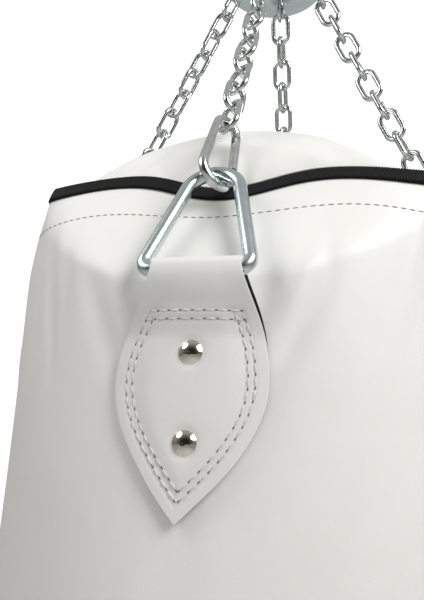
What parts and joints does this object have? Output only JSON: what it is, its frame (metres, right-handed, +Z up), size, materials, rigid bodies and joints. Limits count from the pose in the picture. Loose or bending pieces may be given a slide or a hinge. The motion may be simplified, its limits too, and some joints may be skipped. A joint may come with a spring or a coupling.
{
  "type": "hanging punch bag",
  "caption": "Filled cylindrical punch bag hung by riveted strap tabs, triangle rings, snap hooks and chains from a swivel, with a tether ring underneath.",
  "frame": {"origin": "centre of the hang bolt's hole in the swivel stirrup; the bag hangs below it", "axes": "+Z up along the bag's axis, a strap tab faces -Y, the hang bolt runs along X"},
  "size_m": [0.3734, 0.3734, 1.513],
  "materials": {
    "white_leather": "satin fine grain",
    "black_webbing": "ribbed woven",
    "foam": "matt closed-cell foam",
    "filling": "shredded textile",
    "nickel": "polished nickel plate",
    "zip_plastic": "moulded",
    "zinc_steel": "bright zinc plate"
  },
  "bodies": {
    "stirrup": {"swivel_stirrup": "zinc_steel"},
    "swivel": {"swivel_eye_bolt": "zinc_steel", "swivel_washer": "zinc_steel", "swivel_nut": "zinc_steel"},
    "top_hook": {"top_hook": "zinc_steel", "top_hook_pin": "zinc_steel"},
    "top_gate": {"top_hook_gate": "zinc_steel"},
    "bag": {"outer_shell": "white_leather", "top_cover": "white_leather", "rim_binding": "black_webbing", "bottom_panel": "white_leather", "foam_lining": "foam", "textile_filling": "filling", "bottom_webbing": "black_webbing", "zip_tape": "black_webbing", "zip_teeth": "zip_plastic", "strap_linings": "black_webbing", "rivets": "nickel", "rivet_backs": "nickel", "hub_plate": "zinc_steel", "hub_eye_bolt": "zinc_steel", "hub_nut": "zinc_steel", "strap_tab_front": "white_leather", "strap_tab_right": "white_leather", "strap_tab_back": "white_leather", "strap_tab_left": "white_leather"},
    "tether_ring": {"bottom_d_ring": "zinc_steel"},
    "slider": {"zip_slider": "zip_plastic"},
    "pull": {"zip_pull": "zip_plastic"},
    "ring_front": {"triangle_ring_front": "zinc_steel"},
    "hook_front": {"snap_hook_front": "zinc_steel", "snap_hook_pin_front": "zinc_steel", "chain_lower_front": "zinc_steel"},
    "gate_front": {"snap_hook_gate_front": "zinc_steel"},
    "chain_front": {"chain_middle_front": "zinc_steel", "chain_upper_front": "zinc_steel"},
    "ring_right": {"triangle_ring_right": "zinc_steel"},
    "hook_right": {"snap_hook_right": "zinc_steel", "snap_hook_pin_right": "zinc_steel", "chain_lower_right": "zinc_steel"},
    "gate_right": {"snap_hook_gate_right": "zinc_steel"},
    "chain_right": {"chain_middle_right": "zinc_steel", "chain_upper_right": "zinc_steel"},
    "ring_back": {"triangle_ring_back": "zinc_steel"},
    "hook_back": {"snap_hook_back": "zinc_steel", "snap_hook_pin_back": "zinc_steel", "chain_lower_back": "zinc_steel"},
    "gate_back": {"snap_hook_gate_back": "zinc_steel"},
    "chain_back": {"chain_middle_back": "zinc_steel", "chain_upper_back": "zinc_steel"},
    "ring_left": {"triangle_ring_left": "zinc_steel"},
    "hook_left": {"snap_hook_left": "zinc_steel", "snap_hook_pin_left": "zinc_steel", "chain_lower_left": "zinc_steel"},
    "gate_left": {"snap_hook_gate_left": "zinc_steel"},
    "chain_left": {"chain_middle_left": "zinc_steel", "chain_upper_left": "zinc_steel"}
  },
  "joints": [
    {"name": "swivel_spin", "type": "hinge", "parent": "stirrup", "child": "swivel", "pos_m": [0, 0, -0.036], "axis": [0, 0, 1], "continuous": true},
    {"name": "hook_swing", "type": "hinge", "parent": "swivel", "child": "top_hook", "pos_m": [0, 0, -0.077], "axis": [0, 1, 0], "range_deg": [-30, 30]},
    {"name": "bag_swing", "type": "hinge", "parent": "top_hook", "child": "bag", "pos_m": [0, 0, -0.14076], "axis": [1, 0, 0], "range_deg": [-30, 30]},
    {"name": "top_gate_open", "type": "hinge", "parent": "top_hook", "child": "top_gate", "pos_m": [0.01419, 0, -0.11868], "axis": [0, -1, 0], "range_deg": [0, 20], "stiffness_Nm_per_rad": 0.05},
    {"name": "ring_swing_front", "type": "hinge", "parent": "bag", "child": "ring_front", "pos_m": [0, -0.18, -0.52306], "axis": [-1, 0, 0], "range_deg": [-185, 0]},
    {"name": "hook_swing_front", "type": "hinge", "parent": "ring_front", "child": "hook_front", "pos_m": [0, -0.14931, -0.45572], "axis": [1, 0, 0], "range_deg": [0, 30]},
    {"name": "gate_open_front", "type": "hinge", "parent": "hook_front", "child": "gate_front", "pos_m": [0.00613, -0.13781, -0.4516], "axis": [0.8192, -0.5219, 0.2379], "range_deg": [0, 20], "stiffness_Nm_per_rad": 0.02},
    {"name": "chain_bend_front", "type": "hinge", "parent": "hook_front", "child": "chain_front", "pos_m": [0, -0.10358, -0.35536], "axis": [0.8732, -0.4435, 0.2021], "range_deg": [0, 60]},
    {"name": "ring_swing_right", "type": "hinge", "parent": "bag", "child": "ring_right", "pos_m": [0.18, 0, -0.52306], "axis": [0, -1, 0], "range_deg": [-185, 0]},
    {"name": "hook_swing_right", "type": "hinge", "parent": "ring_right", "child": "hook_right", "pos_m": [0.14931, 0, -0.45572], "axis": [0, 1, 0], "range_deg": [0, 30]},
    {"name": "gate_open_right", "type": "hinge", "parent": "hook_right", "child": "gate_right", "pos_m": [0.13781, 0.00613, -0.4516], "axis": [0.5219, 0.8192, 0.2379], "range_deg": [0, 20], "stiffness_Nm_per_rad": 0.02},
    {"name": "chain_bend_right", "type": "hinge", "parent": "hook_right", "child": "chain_right", "pos_m": [0.10358, 0, -0.35536], "axis": [0.4435, 0.8732, 0.2021], "range_deg": [0, 60]},
    {"name": "ring_swing_back", "type": "hinge", "parent": "bag", "child": "ring_back", "pos_m": [0, 0.18, -0.52306], "axis": [1, 0, 0], "range_deg": [-185, 0]},
    {"name": "hook_swing_back", "type": "hinge", "parent": "ring_back", "child": "hook_back", "pos_m": [0, 0.14931, -0.45572], "axis": [-1, 0, 0], "range_deg": [0, 30]},
    {"name": "gate_open_back", "type": "hinge", "parent": "hook_back", "child": "gate_back", "pos_m": [-0.00613, 0.13781, -0.4516], "axis": [-0.8192, 0.5219, 0.2379], "range_deg": [0, 20], "stiffness_Nm_per_rad": 0.02},
    {"name": "chain_bend_back", "type": "hinge", "parent": "hook_back", "child": "chain_back", "pos_m": [0, 0.10358, -0.35536], "axis": [-0.8732, 0.4435, 0.2021], "range_deg": [0, 60]},
    {"name": "ring_swing_left", "type": "hinge", "parent": "bag", "child": "ring_left", "pos_m": [-0.18, 0, -0.52306], "axis": [0, 1, 0], "range_deg": [-185, 0]},
    {"name": "hook_swing_left", "type": "hinge", "parent": "ring_left", "child": "hook_left", "pos_m": [-0.14931, 0, -0.45572], "axis": [0, -1, 0], "range_deg": [0, 30]},
    {"name": "gate_open_left", "type": "hinge", "parent": "hook_left", "child": "gate_left", "pos_m": [-0.13781, -0.00613, -0.4516], "axis": [-0.5219, -0.8192, 0.2379], "range_deg": [0, 20], "stiffness_Nm_per_rad": 0.02},
    {"name": "chain_bend_left", "type": "hinge", "parent": "hook_left", "child": "chain_left", "pos_m": [-0.10358, 0, -0.35536], "axis": [-0.4435, -0.8732, 0.2021], "range_deg": [0, 60]},
    {"name": "tether_ring_swing", "type": "hinge", "parent": "bag", "child": "tether_ring", "pos_m": [0, 0, -1.47506], "axis": [1, 0, 0], "range_deg": [-70, 70]},
    {"name": "zip_slide", "type": "hinge", "parent": "bag", "child": "slider", "pos_m": [0, 0, -0.62306], "axis": [0, 1, 0], "range_deg": [0, 44]},
    {"name": "pull_flip", "type": "hinge", "parent": "slider", "child": "pull", "pos_m": [-0.09623, 0, -0.40691], "axis": [0, -1, 0], "range_deg": [0, 75]}
  ]
}
